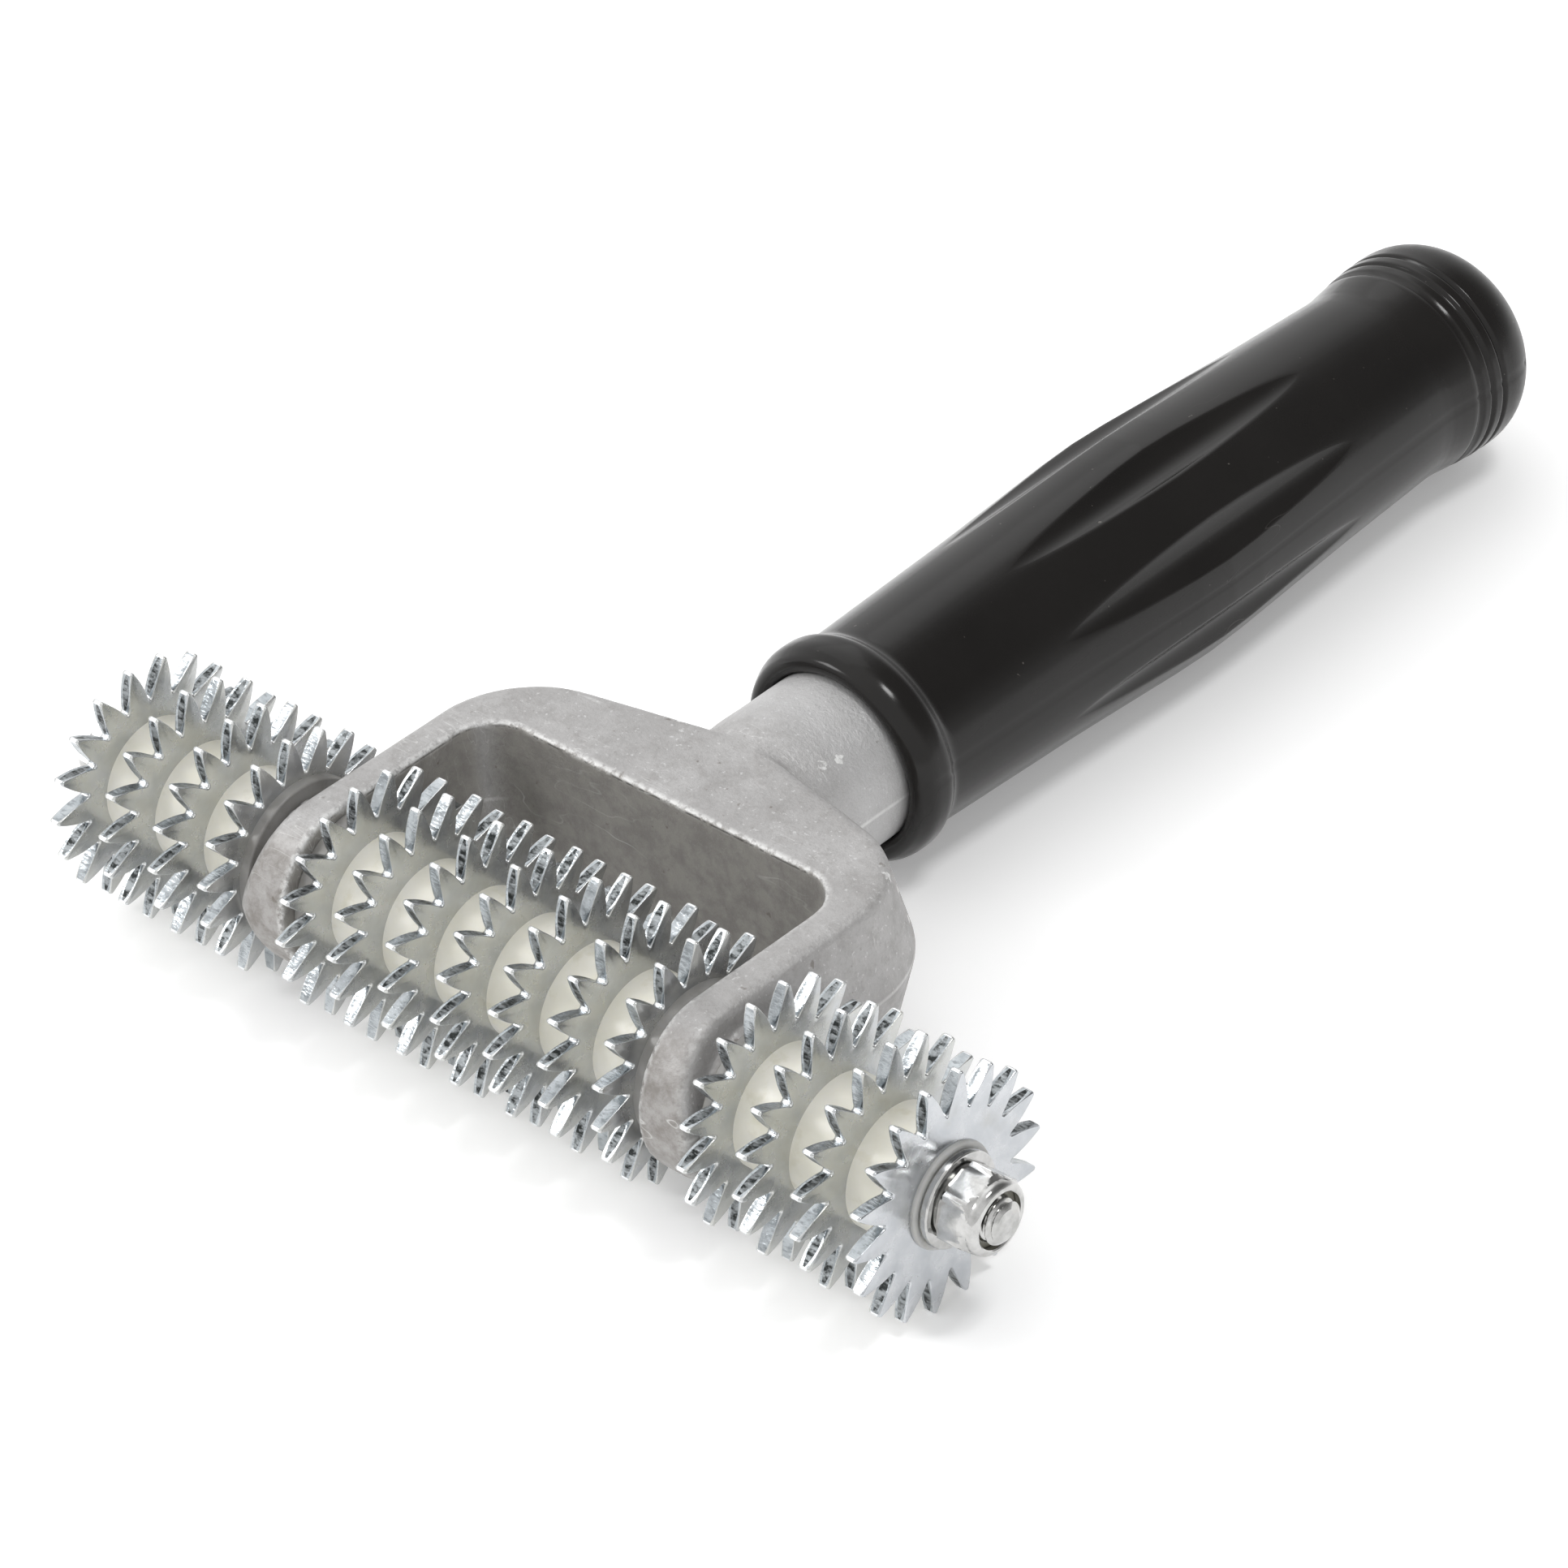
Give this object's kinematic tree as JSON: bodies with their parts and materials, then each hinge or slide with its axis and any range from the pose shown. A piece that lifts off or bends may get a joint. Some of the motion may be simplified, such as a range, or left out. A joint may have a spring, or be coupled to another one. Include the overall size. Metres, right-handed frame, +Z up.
{
  "type": "star wheel seam roller",
  "caption": "Hand roller with a row of free-turning pointed star wheels on one axle, carried by a cast fork with a black moulded grip.",
  "frame": {"origin": "middle of the bounding box in X and Y, on the surface that the wheel tips and the grip lie on", "axes": "+X along the axle towards the lock nut, +Y along the handle away from the wheels, +Z up"},
  "size_m": [0.154, 0.21, 0.0336],
  "materials": {
    "cast_aluminium": "as cast, tumbled, dull",
    "black_plastic": "glossy moulded",
    "zinc_steel": "blue-white zinc plate",
    "bright_steel": "bright zinc plate",
    "nylon": "natural nylon, satin"
  },
  "bodies": {
    "frame": {"fork": "cast_aluminium", "grip": "black_plastic", "axle_bolt": "bright_steel", "lock_nut": "bright_steel", "lock_nut_insert": "nylon", "head_washer": "bright_steel", "nut_washer": "bright_steel", "arm_spacer_inner": "nylon", "arm_spacer_outer": "nylon", "end_spacer": "nylon"},
    "wheel_01": {"star_wheel_01": "zinc_steel", "wheel_bush_01": "nylon"},
    "wheel_02": {"star_wheel_02": "zinc_steel", "wheel_bush_02": "nylon"},
    "wheel_03": {"star_wheel_03": "zinc_steel", "wheel_bush_03": "nylon"},
    "wheel_04": {"star_wheel_04": "zinc_steel", "wheel_bush_04": "nylon"},
    "wheel_05": {"star_wheel_05": "zinc_steel", "wheel_bush_05": "nylon"},
    "wheel_06": {"star_wheel_06": "zinc_steel", "wheel_bush_06": "nylon"},
    "wheel_07": {"star_wheel_07": "zinc_steel", "wheel_bush_07": "nylon"},
    "wheel_08": {"star_wheel_08": "zinc_steel", "wheel_bush_08": "nylon"},
    "wheel_09": {"star_wheel_09": "zinc_steel", "wheel_bush_09": "nylon"},
    "wheel_10": {"star_wheel_10": "zinc_steel", "wheel_bush_10": "nylon"},
    "wheel_11": {"star_wheel_11": "zinc_steel", "wheel_bush_11": "nylon"},
    "wheel_12": {"star_wheel_12": "zinc_steel", "wheel_bush_12": "nylon"},
    "wheel_13": {"star_wheel_13": "zinc_steel", "wheel_bush_13": "nylon"},
    "wheel_14": {"star_wheel_14": "zinc_steel", "wheel_bush_14": "nylon"},
    "wheel_15": {"star_wheel_15": "zinc_steel", "wheel_bush_15": "nylon"}
  },
  "joints": [
    {"name": "wheel_01_spin", "type": "hinge", "parent": "frame", "child": "wheel_01", "pos_m": [-0.06905, -0.0882, 0.0168], "axis": [1, 0, 0], "continuous": true},
    {"name": "wheel_02_spin", "type": "hinge", "parent": "frame", "child": "wheel_02", "pos_m": [-0.06005, -0.0882, 0.0168], "axis": [1, 0, 0], "continuous": true},
    {"name": "wheel_03_spin", "type": "hinge", "parent": "frame", "child": "wheel_03", "pos_m": [-0.05105, -0.0882, 0.0168], "axis": [1, 0, 0], "continuous": true},
    {"name": "wheel_04_spin", "type": "hinge", "parent": "frame", "child": "wheel_04", "pos_m": [-0.04205, -0.0882, 0.0168], "axis": [1, 0, 0], "continuous": true},
    {"name": "wheel_05_spin", "type": "hinge", "parent": "frame", "child": "wheel_05", "pos_m": [-0.028, -0.0882, 0.0168], "axis": [1, 0, 0], "continuous": true},
    {"name": "wheel_06_spin", "type": "hinge", "parent": "frame", "child": "wheel_06", "pos_m": [-0.019, -0.0882, 0.0168], "axis": [1, 0, 0], "continuous": true},
    {"name": "wheel_07_spin", "type": "hinge", "parent": "frame", "child": "wheel_07", "pos_m": [-0.01, -0.0882, 0.0168], "axis": [1, 0, 0], "continuous": true},
    {"name": "wheel_08_spin", "type": "hinge", "parent": "frame", "child": "wheel_08", "pos_m": [-0.001, -0.0882, 0.0168], "axis": [1, 0, 0], "continuous": true},
    {"name": "wheel_09_spin", "type": "hinge", "parent": "frame", "child": "wheel_09", "pos_m": [0.008, -0.0882, 0.0168], "axis": [1, 0, 0], "continuous": true},
    {"name": "wheel_10_spin", "type": "hinge", "parent": "frame", "child": "wheel_10", "pos_m": [0.017, -0.0882, 0.0168], "axis": [1, 0, 0], "continuous": true},
    {"name": "wheel_11_spin", "type": "hinge", "parent": "frame", "child": "wheel_11", "pos_m": [0.026, -0.0882, 0.0168], "axis": [1, 0, 0], "continuous": true},
    {"name": "wheel_12_spin", "type": "hinge", "parent": "frame", "child": "wheel_12", "pos_m": [0.04005, -0.0882, 0.0168], "axis": [1, 0, 0], "continuous": true},
    {"name": "wheel_13_spin", "type": "hinge", "parent": "frame", "child": "wheel_13", "pos_m": [0.04905, -0.0882, 0.0168], "axis": [1, 0, 0], "continuous": true},
    {"name": "wheel_14_spin", "type": "hinge", "parent": "frame", "child": "wheel_14", "pos_m": [0.05805, -0.0882, 0.0168], "axis": [1, 0, 0], "continuous": true},
    {"name": "wheel_15_spin", "type": "hinge", "parent": "frame", "child": "wheel_15", "pos_m": [0.06705, -0.0882, 0.0168], "axis": [1, 0, 0], "continuous": true}
  ]
}
